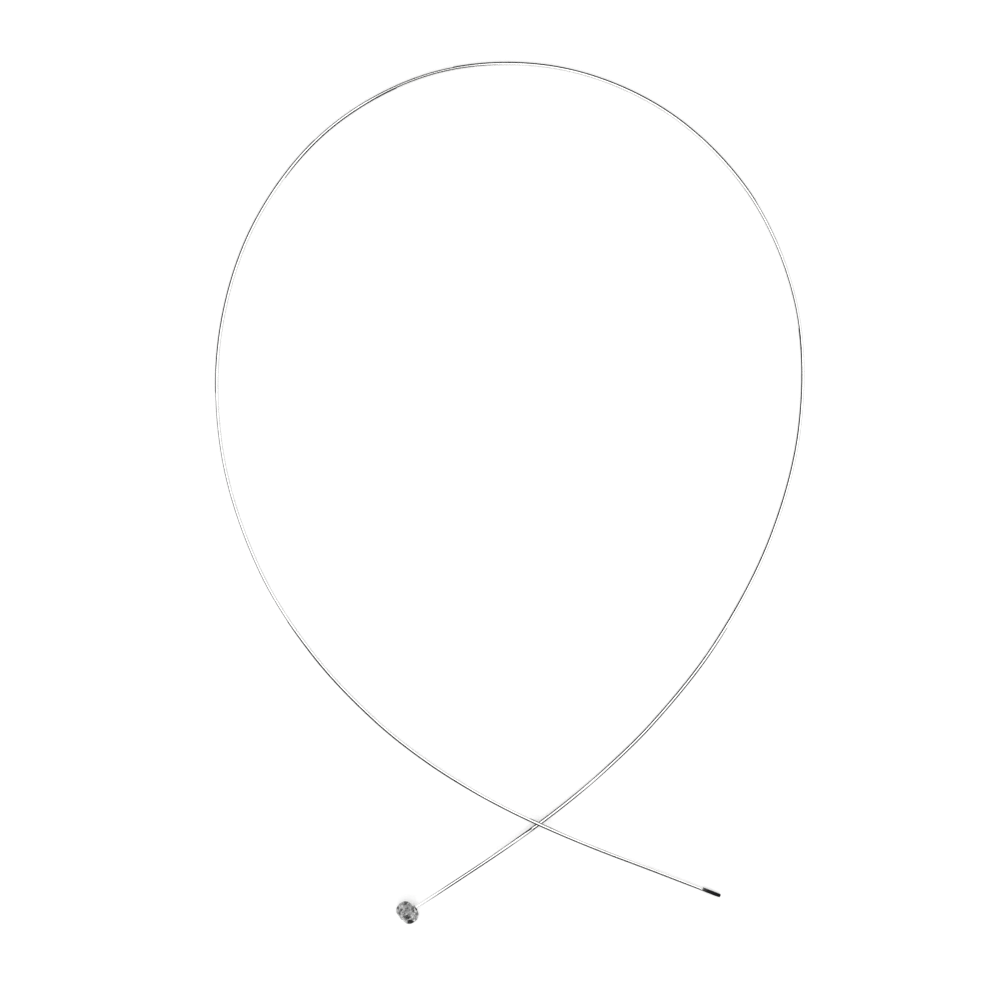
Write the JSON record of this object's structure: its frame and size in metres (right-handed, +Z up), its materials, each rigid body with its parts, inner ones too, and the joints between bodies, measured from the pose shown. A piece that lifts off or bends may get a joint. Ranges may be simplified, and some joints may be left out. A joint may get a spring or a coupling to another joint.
{
  "type": "control cable",
  "caption": "Inner wire of a brake or throttle control: a thin steel strand with a cast barrel nipple at one end and a fused tip at the other, lying in one open loop.",
  "frame": {"origin": "on the surface that the cable lies on, under the middle of the nipple", "axes": "+Z up from that surface; +X and +Y lie in it, +X across the loop and +Y along it, away from the nipple; the strand leaves the nipple between +X and +Y, 33 degrees from +X"},
  "size_m": [0.2435, 0.3555, 0.0098],
  "materials": {
    "zinc_casting": "rough die-cast zinc, dull grey, mottled",
    "steel_strand": "bright drawn steel wires, laid in a strand",
    "fused_steel": "heat-darkened weld"
  },
  "bodies": {
    "root": {"nipple": "zinc_casting", "strand": "steel_strand", "fused_tip": "fused_steel"}
  },
  "joints": []
}
